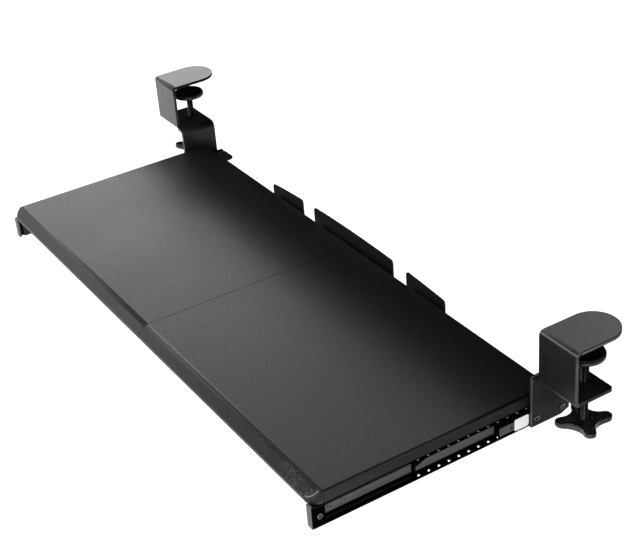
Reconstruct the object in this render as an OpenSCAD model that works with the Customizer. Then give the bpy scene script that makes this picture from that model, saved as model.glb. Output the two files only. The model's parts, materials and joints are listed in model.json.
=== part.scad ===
// Clamp-on keyboard tray, pulled out under the front edge of a desk.
// Origin: middle of the desk's front top edge. X to the user's right, Y into the desk, Z up.
// Sizes in millimetres. Pieces are drawn for the right side; the left ones are mirrored.

/* [Tray boards] */
// Width over both boards
tray_w = 684; // [620:1:760]
// Depth from the nose to the rear edge
tray_d = 268; // [250:1:300]
// Thickness of a board
board_t = 12; // [11:0.5:16]
// How far the front bevel runs back
bevel_run = 11; // [6:0.5:14]
// Height of the upright rim under the bevel
rim_h = 3.5; // [2:0.5:5]
// Radius between the bevel and the top
nose_r = 9; // [4:0.5:14]
// Radius of the front corners, seen from above
corner_r = 12; // [8:1:20]
// Radius along the side edges of the top
side_r = 3.5; // [1:0.5:5]
// Gap at the seam between the boards
seam_gap = 0.6; // [0.2:0.1:1.5]
// Top of the boards below the desk top
tray_drop = 78; // [72:1:90]

/* [Joint plate] */
// Sheet thickness of the joint plate
joint_t = 1.5; // [1:0.1:2]
// Width of the middle guard tab
mid_tab_w = 158.6; // [130:0.2:170]
// Width of each outer guard tab
end_tab_w = 68.2; // [50:0.2:90]
// Space between neighbouring guard tabs
tab_space = 24.9; // [15:0.1:40]
// Height of the middle of the guard above the boards
tab_h = 17.1; // [12:0.1:30]
// Radius of the guard's arched top, over all three tabs
arch_r = 1950; // [1600:10:4000]
// Radius of the top corners of the guard tabs
tab_r = 4; // [1:0.5:6]
// Gap between the boards' rear edge and the guard tabs
tab_gap = 3; // [2.5:0.1:6]
// Inside radius of the guard tab bends
tab_bend_r = 2; // [1:0.1:2.4]
// Depth of the strip along the rear edge
strip_d = 40; // [32:1:60]
// Width of the stem along the seam
stem_w = 110; // [80:1:140]
// Radius of the stem's front corners
stem_r = 10; // [4:1:20]
// Distance from the nose to the stem's front end
stem_setback = 28; // [20:1:60]
// Rows of screws along the stem
stem_rows = 4; // [3:1:5]
// Screws in each end of the strip
strip_screws = 2; // [1:1:3]
// Outer screws inside the ends of stem and strip
joint_inset = 16; // [10:1:24]
// Strip between the guard tabs ahead of the boards' rear edge
strip_edge = 2; // [1:0.5:4]

/* [Slides] */
// Height of the tray rail
rail_h = 25; // [24:0.5:28]
// Depth of the tray rail, web to flange ends
rail_d = 7.1; // [6.8:0.1:7.4]
// Sheet thickness of both rails
rail_t = 1.2; // [1:0.1:1.3]
// Depth of the whole slide, back of the tray rail to face of the fixed rail
slide_d = 10.8; // [10.4:0.1:12]
// Tray rail behind the side edge of the board
rail_inset = 7.7; // [7:0.1:9]
// Tray rail past the rear edge of the board
rail_tail = 22.7; // [14:0.1:30]
// Half height of the raised middle of the tray rail's web
panel_half = 4.2; // [3.8:0.1:4.6]
// Rise of that middle
panel_rise = 1; // [0.6:0.1:1]
// Diameter of the bearing balls
ball_d = 4; // [3.8:0.1:4.2]
// Ball centres from the inner face of the tray rail's web
ball_out = 4.2; // [4:0.1:4.4]
// Balls in each row
ball_count = 12; // [8:1:12]
// Distance between neighbouring balls
ball_pitch = 11.5; // [9:0.5:12]
// Sheet thickness of the ball cage
cage_t = 0.6; // [0.5:0.1:0.7]
// Rear end of the cage behind the desk edge
cage_back = 3.3; // [0:0.1:20]
// Fixed rail in front of the desk edge
fixed_front = 38.2; // [30:0.1:60]
// Fixed rail behind the desk edge
fixed_back = 45.3; // [44:0.1:60]
// Length of the label on the right fixed rail
label_l = 17; // [8:0.5:18]
// Height of that label
label_h = 13; // [6:0.5:14]
// Thickness of that label
label_t = 0.2; // [0.1:0.05:0.3]
// Radius of its corners
label_r = 2; // [0.5:0.5:3]
// Diameter of the rivet mark on the fixed rail
mark_d = 4.4; // [3:0.1:6]
// Height of that mark
mark_h = 0.5; // [0.3:0.1:0.8]
// Thickness of the end cap's face
cap_t = 2; // [1.5:0.1:2.4]
// Length of the end cap over its face and its block
cap_l = 14; // [8:0.5:14]
// Diameter of the stud on the end cap
stud_d = 5; // [4:0.1:6]
// Height of that stud
stud_h = 0.8; // [0.4:0.1:1.2]

/* [Rail brackets] */
// Sheet thickness of the rail brackets
angle_t = 1.5; // [1.2:0.1:2]
// Width of the flange under the board
angle_w = 28.3; // [22:0.1:40]
// Inside radius of the bend
angle_bend_r = 1; // [0.5:0.1:2]
// Radius of the flange's free corners
angle_r = 7; // [2:0.5:9]
// Screws into each board
angle_screws = 4; // [3:1:6]
// Outer screws inside the ends of the flange
angle_inset = 18; // [12:1:30]

/* [Clamps] */
// Thickness of the clamp plate
plate_t = 3.5; // [2.5:0.1:4]
// Width of jaw and front plate
clamp_w = 50; // [46:1:70]
// Reach of the jaw over the desk
jaw_l = 64.3; // [56:0.1:90]
// Thickness of the pad under the jaw
jaw_pad_t = 1; // [0.6:0.1:3]
// Jaw pad inside the jaw's outline
jaw_pad_inset = 2; // [1:0.5:6]
// Opening between desk top and lower plate
jaw_gap = 51; // [44:1:54]
// Depth of the lower plate and the side plate behind the desk edge
shelf_d = 42.8; // [42:0.1:50]
// Inside radius of the bends at the front plate
bend_r = 1.5; // [1:0.1:2]
// Inside radius of the bend into the side plate
side_bend_r = 4.5; // [2:0.1:5]
// Front plate outboard of the side plate
clamp_step = 10; // [9:0.1:20]
// Fillet where the front plate meets the lower plate
neck_r = 2; // [1:0.1:4]
// Radius of the lower plate's free corner
shelf_r = 4; // [2:0.5:8]
// Side plate below the middle of the slide
side_drop = 8.5; // [7:0.1:12]
// Run of the cut at the side plate's rear lower corner
side_cut_run = 10; // [2:0.5:12]
// Rise of that cut
side_cut_rise = 4; // [2:0.1:4]
// First rail screw behind the desk edge
rail_screw_y = 3.5; // [3:0.1:10]
// Distance between the rail screws
rail_screw_step = 31; // [20:0.5:32]

/* [Clamp screws] */
// Thickness of the desk in the clamps
desk_t = 18; // [15:1:25]
// Clamp screw diameter
screw_d = 8; // [6:0.5:8.5]
// Clamp screw behind the desk edge
screw_y = 30; // [27:0.5:34]
// Free clamp screw between nut and knob
screw_free = 32.5; // [30:0.5:40]
// Nut size across its flats
nut_af = 13; // [13:0.5:15]
// Nut height
nut_h = 6.5; // [5:0.5:8]
// Pressure disc diameter
disc_d = 38; // [30:1:44]
// Pressure disc thickness
disc_t = 3; // [2:0.1:4]
// Rubber face diameter
rubber_d = 36; // [26:1:40]
// Rubber face thickness
rubber_t = 2; // [1.5:0.1:3]
// Socket boss diameter
boss_d = 16; // [13:0.5:20]
// Socket boss height
boss_h = 5; // [4:0.1:6]
// Pin diameter at the screw's end
pin_d = 5; // [3.5:0.1:5.5]

/* [Knobs] */
// Span over two opposite arms
knob_span = 55; // [54:0.5:60]
// Thickness of the arms
knob_h = 5.5; // [5:0.5:10]
// Width of the arms' rounded ends
arm_w = 11.5; // [9:0.5:12]
// Radius of the hollows between the arms
hollow_r = 15; // [8:0.5:15]
// Hub diameter
hub_d = 18; // [14:0.5:20]
// Hub height below the arms
hub_h = 4; // [3:0.5:8]
// Floor of the knob under the clamp screw
screw_seat = 2; // [1:0.5:4]
// Turn of the right knob at rest
right_turn = 65; // [0:1:90]
// Turn of the left knob at rest
left_turn = 45; // [0:1:90]

/* [Small screws] */
// Shank diameter of the wood screws
wood_d = 3.6; // [3:0.1:4]
// Depth of the wood screws in the board
wood_depth = 8; // [5:0.5:9]
// Shank diameter of the rail screws
rail_screw_d = 4; // [3:0.1:4.2]
// Diameter of the rail screws' low heads
low_head_d = 6.2; // [5.5:0.1:8]
// Height of those heads
low_head_h = 1.2; // [0.8:0.1:2]
// Diameter of their flat tops
low_crown_d = 4.8; // [3.6:0.1:5.4]
// Head diameter of the wood screws
head_d = 7.2; // [6:0.1:8]
// Head height
head_h = 2.2; // [1.6:0.1:3]
// Height of the head's straight rim
head_rim = 1; // [0.6:0.1:1.4]
// Diameter of the head's flat top
crown_d = 4.6; // [3.6:0.1:5.6]
// Nut size of the rail screws across its flats
small_nut_af = 7; // [6.5:0.1:7.5]
// Nut height of the rail screws
small_nut_h = 3.2; // [2.4:0.1:3.4]
// Shank diameter of the rivets
rivet_d = 4; // [3:0.1:4.2]
// Diameter of the rivet heads
rivet_head_d = 6.4; // [5:0.1:7]
// Height of the rivet heads behind the bracket
rivet_head_h = 1; // [0.6:0.1:1.4]
// Height of the rivet faces in the rail
rivet_face_h = 0.2; // [0.1:0.05:0.25]
// Outer rivets inside the ends of the rail
rivet_inset = 34; // [24:1:60]

/* [Fits] */
// Gap round a shank that is driven or riveted in
fit = 0.05; // [0.03:0.01:0.1]
// Gap round a clearance hole
hole_gap = 0.4; // [0.2:0.1:0.6]
// Running gap of the clamp screw in its nut and of its pin in the socket
thread_gap = 0.08; // [0.04:0.01:0.1]
// Gap between a ball and each raceway
race_gap = 0.3; // [0.28:0.01:0.34]
// Gap between a ball and its hole in the cage
cage_gap = 0.15; // [0.1:0.01:0.2]
// Gap between the cage's lips and the fixed rail
lip_gap = 0.35; // [0.3:0.01:0.4]
// Gap between the clamp screw's shoulder and the socket boss
socket_gap = 0.3; // [0.2:0.05:0.5]
// Free space between sliding sheets
slide_gap = 0.6; // [0.5:0.05:0.65]
// Gap at the end stops
stop_gap = 0.5; // [0.3:0.1:1]
// Gap between the boards and the rails under them
seat_gap = 0.2; // [0.1:0.05:0.4]

/* [Hidden] */
$fn = 64;

// How far a cutting shape runs past the surface that it cuts
over = 1;

// Tray rail stop and tray position: pulled out, the stop rests behind the fixed rail
rail_rear = fixed_back + stop_gap + rail_t;
rear_y = rail_rear - rail_tail;
nose_y = rear_y - tray_d;
board_top = -tray_drop;
board_bot = board_top - board_t;
bevel_angle = atan2(board_t - rim_h, bevel_run);
nose_back = nose_r * tan(bevel_angle / 2);

// Joint plate
tab_face = rear_y + tab_gap;
tab_top = board_top + tab_h;
strip_half = mid_tab_w / 2 + tab_space + end_tab_w;
corner_lift = 0.05;
arch_fn = 2880;
stem_front = nose_y + stem_setback;
stem_step = (rear_y - strip_d - stem_front - joint_inset) / (stem_rows - 1);
strip_step = (strip_half - stem_w / 2 - joint_inset) / strip_screws;
joint_spots = concat(
  [for (i = [0 : stem_rows - 1]) [stem_w / 4, stem_front + joint_inset + i * stem_step]],
  [for (i = [0 : strip_screws - 1]) [strip_half - joint_inset - i * strip_step, rear_y - strip_d / 2]]
);

// Slide section: u runs outwards from the back of the tray rail, w up from its middle
rail_x = tray_w / 2 - rail_inset;
rail_z = board_bot - seat_gap - rail_h / 2;
race_r = ball_d / 2 + race_gap;
ball_u = rail_t + ball_out;
ball_w = rail_h / 2 - rail_t - race_r;
hole_r = ball_d / 2 + cage_gap;
cage_u = rail_t + slide_gap;
cage_face = rail_t + panel_rise + slide_gap;
cage_half = panel_half + slide_gap;
cage_lip_u = ball_u + hole_r + lip_gap;
hat_half = ball_w - cage_t / 2 - lip_gap;
groove_u = ball_u - ball_d / 2;
rail_front = nose_y + rail_t;
cap_rear = rail_front + cap_l - cap_t;
cage_l = ball_count * ball_pitch;
ball_y0 = cage_back - cage_l + ball_pitch / 2;
stop_half = hat_half - rail_t;
mark_y = -plate_t - label_l - mark_d;

// Rail bracket
angle_x = rail_x - angle_w;
angle_front = nose_y + 2 * cap_t + rail_t;
angle_h = rail_h - stop_gap;
angle_step = (rear_y - angle_front - 2 * angle_inset) / (angle_screws - 1);
angle_spots = [for (i = [0 : angle_screws - 1])
  [angle_x + (angle_w - angle_t) / 2, angle_front + angle_inset + i * angle_step]];
rivet_ys = [rail_front + rivet_inset, (rail_front + rail_rear) / 2, rail_rear - rivet_inset];

// Clamp
side_x = rail_x + slide_d;
clamp_x = side_x + plate_t + clamp_step;
clamp_mid = clamp_x + clamp_w / 2;
shelf_top = -jaw_gap;
shelf_bot = shelf_top - plate_t;
side_bot = rail_z - side_drop;
rail_screw_ys = [rail_screw_y, rail_screw_y + rail_screw_step];
screw_hole_d = screw_d + 2 * hole_gap;

// Clamp screw and knob
disc_top = -desk_t - rubber_t;
boss_bot = disc_top - disc_t - boss_h;
knob_top = shelf_bot - nut_h - screw_free;
knob_bot = knob_top - knob_h;
hub_bot = knob_bot - hub_h;
screw_bot = hub_bot + screw_seat;
tip_r = arm_w / 2;
tip_out = knob_span / 2 - tip_r;

black_steel = "#2a2a2c";
black_board = "#303032";
black_plastic = "#1c1c1d";
grey_steel = "#5c5c5e";
bright_steel = "#b8b9bb";
black_rubber = "#161616";
white_paper = "#f2f2f0";

module mirrored() {
  mirror([1, 0, 0]) children();
}

// Extrudes an outline drawn in Y and Z along X
module along_x(x0, x1) {
  translate([x0, 0, 0]) rotate([90, 0, 90]) linear_extrude(x1 - x0) children();
}

// Extrudes an outline drawn in X and Z along Y
module along_y(y0, y1) {
  translate([0, y1, 0]) rotate([90, 0, 0]) linear_extrude(y1 - y0) children();
}

// Extrudes an outline drawn in X and Y upwards
module upright(z0, z1) {
  translate([0, 0, z0]) linear_extrude(z1 - z0) children();
}

// Quarter of a bent sheet: inside radius, thickness, and the signs of its quadrant
module quarter_ring(r_in, t, sx, sy) {
  r = r_in + t;
  intersection() {
    difference() {
      circle(r = r);
      circle(r = r_in);
    }
    translate([min(0, sx * r), min(0, sy * r)]) square(r);
  }
}

// Rectangle from one corner to the other
module box2(a, b) {
  translate(a) square(b - a);
}

// Rectangle with all corners rounded
module round_box(a, b, r) {
  box2(a + [r, 0], b - [r, 0]);
  box2(a + [0, r], b - [0, r]);
  for (x = [a[0] + r, b[0] - r], y = [a[1] + r, b[1] - r]) translate([x, y]) circle(r = r);
}

// Concave fillet in the corner of two edges along X and Y
module corner_fillet(r) {
  difference() {
    square(r);
    translate([r, r]) circle(r = r);
  }
}

// Pan head that stands up from Z = 0
module pan_head() {
  cylinder(d = head_d, h = head_rim);
  translate([0, 0, head_rim]) cylinder(d1 = head_d, d2 = crown_d, h = head_h - head_rim);
}

// Screw with its head under a sheet and its shank up through it
module wood_screw(sheet_bot, tip) {
  translate([0, 0, sheet_bot]) mirror([0, 0, 1]) pan_head();
  translate([0, 0, sheet_bot]) cylinder(d = wood_d, h = tip - sheet_bot);
}

module pilot_holes(spots) {
  for (p = spots)
    translate([p[0], p[1], board_bot - over])
      cylinder(d = wood_d + 2 * fit, h = wood_depth + fit + over);
}

module sheet_holes(spots, sheet_t) {
  for (p = spots)
    translate([p[0], p[1], board_bot - sheet_t - over])
      cylinder(d = wood_d + 2 * hole_gap, h = sheet_t + 2 * over);
}

// Tray board: bevel seen from the side, rounded edge seen from the front, corner seen from above
module bevel_outline() {
  difference() {
    polygon([
      [nose_y, board_bot], [nose_y, board_bot + rim_h], [nose_y + bevel_run, board_top],
      [rear_y, board_top], [rear_y, board_bot]
    ]);
    translate([nose_y + bevel_run, board_top]) nose_waste();
  }
}

// What the rounding takes off the edge between bevel and top
module nose_waste() {
  out = [-sin(bevel_angle), cos(bevel_angle)];
  bevel_end = -nose_back * [cos(bevel_angle), sin(bevel_angle)];
  difference() {
    polygon([
      [nose_back, 0], [nose_back, over], [-over * tan(bevel_angle / 2), over],
      bevel_end + over * out, bevel_end
    ]);
    translate([nose_back, -nose_r]) circle(r = nose_r);
  }
}

module edge_outline() {
  edge = tray_w / 2;
  box2([seam_gap / 2, board_bot], [edge - side_r, board_top]);
  box2([seam_gap / 2, board_bot], [edge, board_top - side_r]);
  translate([edge - side_r, board_top - side_r]) circle(r = side_r);
}

module plan_outline() {
  edge = tray_w / 2;
  box2([seam_gap / 2, nose_y], [edge - corner_r, rear_y]);
  box2([seam_gap / 2, nose_y + corner_r], [edge, rear_y]);
  translate([edge - corner_r, nose_y + corner_r]) circle(r = corner_r);
}

module right_tray_board() {
  color(black_board)
    difference() {
      intersection() {
        along_x(0, tray_w) bevel_outline();
        along_y(nose_y - over, rear_y + over) edge_outline();
        upright(board_bot - over, board_top + over) plan_outline();
      }
      pilot_holes(joint_spots);
      pilot_holes(angle_spots);
    }
}

module left_tray_board() {
  mirrored() right_tray_board();
}

// Guard tab, seen from the side: flat start, bend and upright
module tab_outline() {
  flat_bot = board_bot - joint_t;
  bend_y = tab_face - tab_bend_r;
  box2([rear_y - strip_edge - over, flat_bot], [bend_y, board_bot]);
  translate([bend_y, board_bot + tab_bend_r]) quarter_ring(tab_bend_r, joint_t, 1, -1);
  box2([tab_face, board_bot + tab_bend_r], [tab_face + joint_t, tab_top]);
}

// Height of a corner's centre, a little over the place where its circle would only touch the arch
function tab_corner_z(x) =
  tab_top - arch_r + sqrt((arch_r - tab_r) * (arch_r - tab_r) - x * x) + corner_lift;

// Guard tab, seen from the front: upright sides, round corners and its part of the arch
module tab_face_outline(x0, x1) {
  low = board_bot - joint_t - over;
  intersection() {
    union() {
      box2([x0 + tab_r, low], [x1 - tab_r, tab_top + over]);
      box2([x0, low], [x0 + tab_r, tab_corner_z(x0 + tab_r)]);
      box2([x1 - tab_r, low], [x1, tab_corner_z(x1 - tab_r)]);
      for (x = [x0 + tab_r, x1 - tab_r]) translate([x, tab_corner_z(x)]) circle(r = tab_r);
    }
    translate([0, tab_top - arch_r]) circle(r = arch_r, $fn = arch_fn);
  }
}

module guard_tab(x0, x1) {
  intersection() {
    along_x(x0, x1) tab_outline();
    along_y(rear_y - strip_d, tab_face + joint_t + over) tab_face_outline(x0, x1);
  }
}

module joint_plate() {
  end_tab_x = mid_tab_w / 2 + tab_space;
  color(black_steel) {
    difference() {
      upright(board_bot - joint_t, board_bot) {
        box2([-strip_half, rear_y - strip_d], [strip_half, rear_y - strip_edge]);
        round_box([-stem_w / 2, stem_front], [stem_w / 2, rear_y - strip_edge], stem_r);
      }
      sheet_holes(joint_spots, joint_t);
      mirrored() sheet_holes(joint_spots, joint_t);
    }
    guard_tab(-mid_tab_w / 2, mid_tab_w / 2);
    guard_tab(end_tab_x, strip_half);
    mirrored() guard_tab(end_tab_x, strip_half);
  }
}

module joint_screws_half() {
  for (p = joint_spots) translate([p[0], p[1], 0])
    wood_screw(board_bot - joint_t, board_bot + wood_depth);
}

module joint_screws() {
  color(grey_steel) {
    joint_screws_half();
    mirrored() joint_screws_half();
  }
}

// Slide pieces sit at the back of the tray rail, at its middle height
module slide_at() {
  translate([rail_x, 0, rail_z]) children();
}

// Tray rail section: channel with curled flange ends and a raised middle
module channel_outline() {
  full_u = ball_u + race_r + rail_t;
  half = rail_h / 2;
  difference() {
    union() {
      difference() {
        round_box([0, -half], [full_u, half], race_r + rail_t);
        round_box([rail_t, rail_t - half], [full_u - rail_t, half - rail_t], race_r);
        box2([rail_d, -half - over], [full_u + over, half + over]);
        box2([ball_u, -ball_w], [full_u + over, ball_w]);
      }
      box2([0, -panel_half], [rail_t + panel_rise, panel_half]);
    }
    box2([-over, panel_rise - panel_half], [panel_rise, panel_half - panel_rise]);
  }
}

// Stop at the rear end of the tray rail: a strip bent in from the web
module rail_stop() {
  along_y(rail_rear - rail_t, rail_rear) box2([rail_t / 2, -stop_half], [rail_d, stop_half]);
}

module right_tray_rail() {
  color(black_steel)
    slide_at() difference() {
      union() {
        along_y(rail_front, rail_rear) channel_outline();
        rail_stop();
      }
      for (y = rivet_ys)
        translate([-over, y, 0]) rotate([0, 90, 0])
          cylinder(d = rivet_d + 2 * fit, h = rail_t + panel_rise + 2 * over);
    }
}

module left_tray_rail() {
  mirrored() right_tray_rail();
}

// Fixed rail section: two grooves for the balls on a hat-shaped strip
module hat_outline() {
  for (s = [-1, 1])
    intersection() {
      union() {
        translate([ball_u, s * ball_w]) difference() {
          circle(r = race_r + rail_t);
          circle(r = race_r);
        }
        box2([ball_u + race_r, min(s * hat_half, s * (hat_half - rail_t))],
             [slide_d, max(s * hat_half, s * (hat_half - rail_t))]);
      }
      box2([groove_u, min(0, s * hat_half)], [slide_d, max(0, s * hat_half)]);
    }
  box2([slide_d - rail_t, -hat_half], [slide_d, hat_half]);
}

module right_fixed_rail() {
  color(grey_steel)
    slide_at() difference() {
      union() {
        along_y(-fixed_front, fixed_back) hat_outline();
        translate([slide_d, mark_y, 0]) rotate([0, 90, 0])
          cylinder(d1 = mark_d, d2 = mark_d / 2, h = mark_h);
      }
      for (y = rail_screw_ys)
        translate([slide_d - rail_t - over, y, 0]) rotate([0, 90, 0])
          cylinder(d = rail_screw_d + 2 * hole_gap, h = rail_t + 2 * over);
    }
}

module left_fixed_rail() {
  mirrored() right_fixed_rail();
}

module right_rail_label() {
  label_rear = -plate_t - stop_gap;
  color(white_paper)
    slide_at() translate([slide_d, 0, 0]) rotate([90, 0, 90]) linear_extrude(label_t)
      round_box([label_rear - label_l, -label_h / 2], [label_rear, label_h / 2], label_r);
}

// Cage section: raised middle, two webs and two lips that carry the balls
module cage_outline() {
  lip_w = ball_w + cage_t / 2;
  box2([cage_face, -cage_half - cage_t], [cage_face + cage_t, cage_half + cage_t]);
  for (s = [-1, 1]) {
    box2([cage_u, min(s * cage_half, s * (cage_half + cage_t))],
         [cage_face + cage_t, max(s * cage_half, s * (cage_half + cage_t))]);
    box2([cage_u, min(s * cage_half, s * lip_w)], [cage_u + cage_t, max(s * cage_half, s * lip_w)]);
    box2([cage_u, s * ball_w - cage_t / 2], [cage_lip_u, s * ball_w + cage_t / 2]);
  }
}

module right_ball_cage() {
  color(black_steel)
    slide_at() difference() {
      along_y(cage_back - cage_l, cage_back) cage_outline();
      for (i = [0 : ball_count - 1], s = [-1, 1])
        translate([ball_u, ball_y0 + i * ball_pitch, s * ball_w])
          cylinder(r = hole_r, h = 2 * over, center = true);
    }
}

module left_ball_cage() {
  mirrored() right_ball_cage();
}

module right_slide_balls() {
  color(bright_steel)
    slide_at() for (i = [0 : ball_count - 1], s = [-1, 1])
      translate([ball_u, ball_y0 + i * ball_pitch, s * ball_w]) sphere(d = ball_d);
}

module left_slide_balls() {
  mirrored() right_slide_balls();
}

// End cap: a face over the rail's front end and a block inside it
module cap_face_outline() {
  round_box([-angle_t, -rail_h / 2], [rail_d, rail_h / 2], rail_t);
}

module cap_block_outline() {
  half = rail_h / 2 - rail_t - fit;
  round_box([rail_t + panel_rise + fit, -half], [rail_d, half], race_r - fit);
}

module right_end_cap() {
  color(black_plastic)
    slide_at() {
      along_y(rail_front - cap_t, rail_front) cap_face_outline();
      along_y(rail_front - over, cap_rear) cap_block_outline();
      translate([rail_d, (rail_front + cap_rear) / 2, 0]) rotate([0, 90, 0])
        cylinder(d = stud_d, h = stud_h);
    }
}

module left_end_cap() {
  mirrored() right_end_cap();
}

// Rail bracket section: flange under the board, bend and leg behind the tray rail
module angle_outline() {
  bend = angle_t + angle_bend_r;
  box2([angle_x, board_bot - angle_t], [rail_x - bend, board_bot]);
  translate([rail_x - bend, board_bot - bend]) quarter_ring(angle_bend_r, angle_t, 1, 1);
  box2([rail_x - angle_t, board_bot - angle_h], [rail_x, board_bot - bend]);
}

module right_rail_bracket() {
  color(black_steel)
    difference() {
      intersection() {
        along_y(angle_front, rail_rear) angle_outline();
        upright(board_bot - angle_h - over, board_bot + over) {
          box2([angle_x, angle_front + angle_r], [rail_x, rail_rear - angle_r]);
          round_box([angle_x, angle_front], [rail_x, rail_rear], angle_r);
          box2([rail_x - angle_w / 2, angle_front], [rail_x, rail_rear]);
        }
      }
      sheet_holes(angle_spots, angle_t);
      for (y = rivet_ys)
        translate([rail_x - angle_t - over, y, rail_z]) rotate([0, 90, 0])
          cylinder(d = rivet_d + 2 * fit, h = angle_t + 2 * over);
    }
}

module left_rail_bracket() {
  mirrored() right_rail_bracket();
}

module right_bracket_screws() {
  color(grey_steel)
    for (p = angle_spots) translate([p[0], p[1], 0])
      wood_screw(board_bot - angle_t, board_bot + wood_depth);
}

module left_bracket_screws() {
  mirrored() right_bracket_screws();
}

// Collared rivet: head behind the bracket, collar between bracket and web, thin face in the rail
module collared_rivet() {
  web_face = rail_t + panel_rise;
  rotate([0, 90, 0]) {
    translate([0, 0, -angle_t - rivet_head_h]) cylinder(d = rivet_head_d, h = rivet_head_h);
    translate([0, 0, -angle_t]) cylinder(d = rivet_d, h = angle_t + web_face);
    cylinder(d = 2 * (panel_half - panel_rise) - 2 * fit, h = panel_rise);
    translate([0, 0, web_face]) cylinder(d = rivet_head_d, h = rivet_face_h);
  }
}

module right_rail_rivets() {
  color(grey_steel)
    slide_at() for (y = rivet_ys) translate([0, y, 0]) collared_rivet();
}

module left_rail_rivets() {
  mirrored() right_rail_rivets();
}

// Clamp seen from the side: front plate, its two bends and the lower plate
module clamp_outline() {
  box2([-plate_t, shelf_top + bend_r], [0, jaw_pad_t - bend_r]);
  translate([bend_r, jaw_pad_t - bend_r]) quarter_ring(bend_r, plate_t, -1, 1);
  translate([bend_r, shelf_top + bend_r]) quarter_ring(bend_r, plate_t, -1, -1);
}

// Jaw seen from above, with a round end
module jaw_outline(inset, front) {
  half = clamp_w / 2 - inset;
  end_y = jaw_l - clamp_w / 2;
  box2([clamp_mid - half, front], [clamp_mid + half, end_y]);
  translate([clamp_mid, end_y]) circle(r = half);
}

// Lower plate seen from above
module shelf_outline() {
  inner = side_x + plate_t + side_bend_r;
  box2([inner, bend_r], [clamp_x + clamp_w, shelf_d - shelf_r]);
  box2([inner, bend_r], [clamp_x + clamp_w - shelf_r, shelf_d]);
  translate([clamp_x + clamp_w - shelf_r, shelf_d - shelf_r]) circle(r = shelf_r);
}

// Neck and side plate seen from the front: the lower plate turns down along the tray
module side_outline() {
  bend_x = side_x + plate_t + side_bend_r;
  bend_z = shelf_bot - side_bend_r;
  box2([bend_x, shelf_bot], [clamp_x, shelf_top]);
  translate([bend_x, bend_z]) quarter_ring(side_bend_r, plate_t, -1, 1);
  box2([side_x, side_bot], [side_x + plate_t, bend_z]);
}

module side_corner_cut() {
  along_x(side_x - over, side_x + plate_t + over)
    polygon([
      [shelf_d - side_cut_run, side_bot], [shelf_d, side_bot + side_cut_rise],
      [shelf_d + over, side_bot + side_cut_rise], [shelf_d + over, side_bot - over],
      [shelf_d - side_cut_run, side_bot - over]
    ]);
}

module neck_fillet() {
  along_y(-plate_t, 0) translate([clamp_x, shelf_top]) mirror([1, 0]) corner_fillet(neck_r);
}

module right_clamp_bracket() {
  color(black_steel)
    difference() {
      union() {
        along_x(clamp_x, clamp_x + clamp_w) clamp_outline();
        upright(jaw_pad_t, jaw_pad_t + plate_t) jaw_outline(0, bend_r);
        upright(shelf_bot, shelf_top) shelf_outline();
        along_y(-plate_t, shelf_d) side_outline();
        neck_fillet();
      }
      side_corner_cut();
      translate([clamp_mid, screw_y, shelf_bot - over])
        cylinder(d = screw_hole_d, h = plate_t + 2 * over);
      for (y = rail_screw_ys)
        translate([side_x - over, y, rail_z]) rotate([0, 90, 0])
          cylinder(d = rail_screw_d + 2 * hole_gap, h = plate_t + 2 * over);
    }
}

module left_clamp_bracket() {
  mirrored() right_clamp_bracket();
}

module right_jaw_pad() {
  color(black_rubber) upright(0, jaw_pad_t) jaw_outline(jaw_pad_inset, bend_r + jaw_pad_inset);
}

module left_jaw_pad() {
  mirrored() right_jaw_pad();
}

module right_clamp_nut() {
  color(grey_steel)
    translate([clamp_mid, screw_y, shelf_bot - nut_h]) difference() {
      cylinder(d = nut_af / cos(30), h = nut_h, $fn = 6);
      translate([0, 0, -over]) cylinder(d = screw_d + 2 * thread_gap, h = nut_h + 2 * over);
    }
}

module left_clamp_nut() {
  mirrored() right_clamp_nut();
}

// Rail screw: head outside the side plate, shank through it and the fixed rail
module right_rail_screws() {
  tip_u = slide_d - rail_t - small_nut_h;
  color(grey_steel)
    slide_at() for (y = rail_screw_ys) translate([0, y, 0]) rotate([0, 90, 0]) {
      translate([0, 0, slide_d + plate_t]) cylinder(d1 = low_head_d, d2 = low_crown_d, h = low_head_h);
      translate([0, 0, tip_u]) cylinder(d = rail_screw_d, h = slide_d + plate_t - tip_u);
    }
}

module left_rail_screws() {
  mirrored() right_rail_screws();
}

module right_rail_nuts() {
  color(grey_steel)
    slide_at() for (y = rail_screw_ys)
      translate([slide_d - rail_t - small_nut_h, y, 0]) rotate([0, 90, 0]) difference() {
        cylinder(d = small_nut_af / cos(30), h = small_nut_h, $fn = 6);
        translate([0, 0, -over])
          cylinder(d = rail_screw_d + 2 * fit, h = small_nut_h + 2 * over);
      }
}

module left_rail_nuts() {
  mirrored() right_rail_nuts();
}

module right_pressure_disc() {
  color(grey_steel)
    translate([clamp_mid, screw_y, boss_bot]) difference() {
      union() {
        translate([0, 0, boss_h]) cylinder(d = disc_d, h = disc_t);
        cylinder(d = boss_d, h = boss_h);
      }
      translate([0, 0, -over]) cylinder(d = pin_d + 2 * thread_gap, h = boss_h + over);
    }
}

module left_pressure_disc() {
  mirrored() right_pressure_disc();
}

module right_disc_rubber() {
  color(black_rubber) translate([clamp_mid, screw_y, disc_top]) cylinder(d = rubber_d, h = rubber_t);
}

module left_disc_rubber() {
  mirrored() right_disc_rubber();
}

// Clamp screw: rod from the knob to the socket, and the pin that turns in it
module right_clamp_screw() {
  shoulder = boss_bot - socket_gap;
  color(grey_steel) translate([clamp_mid, screw_y, 0]) {
    translate([0, 0, screw_bot]) cylinder(d = screw_d, h = shoulder - screw_bot);
    translate([0, 0, shoulder]) cylinder(d = pin_d, h = boss_h);
  }
}

module left_clamp_screw() {
  mirrored() right_clamp_screw();
}

// Knob seen from above: four round-ended arms with hollows between them
module star_outline() {
  for (a = [0 : 90 : 270]) rotate(a) {
    box2([0, -tip_r], [tip_out, tip_r]);
    translate([tip_out, 0]) circle(r = tip_r);
    translate([tip_r, tip_r]) corner_fillet(hollow_r);
  }
}

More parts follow.
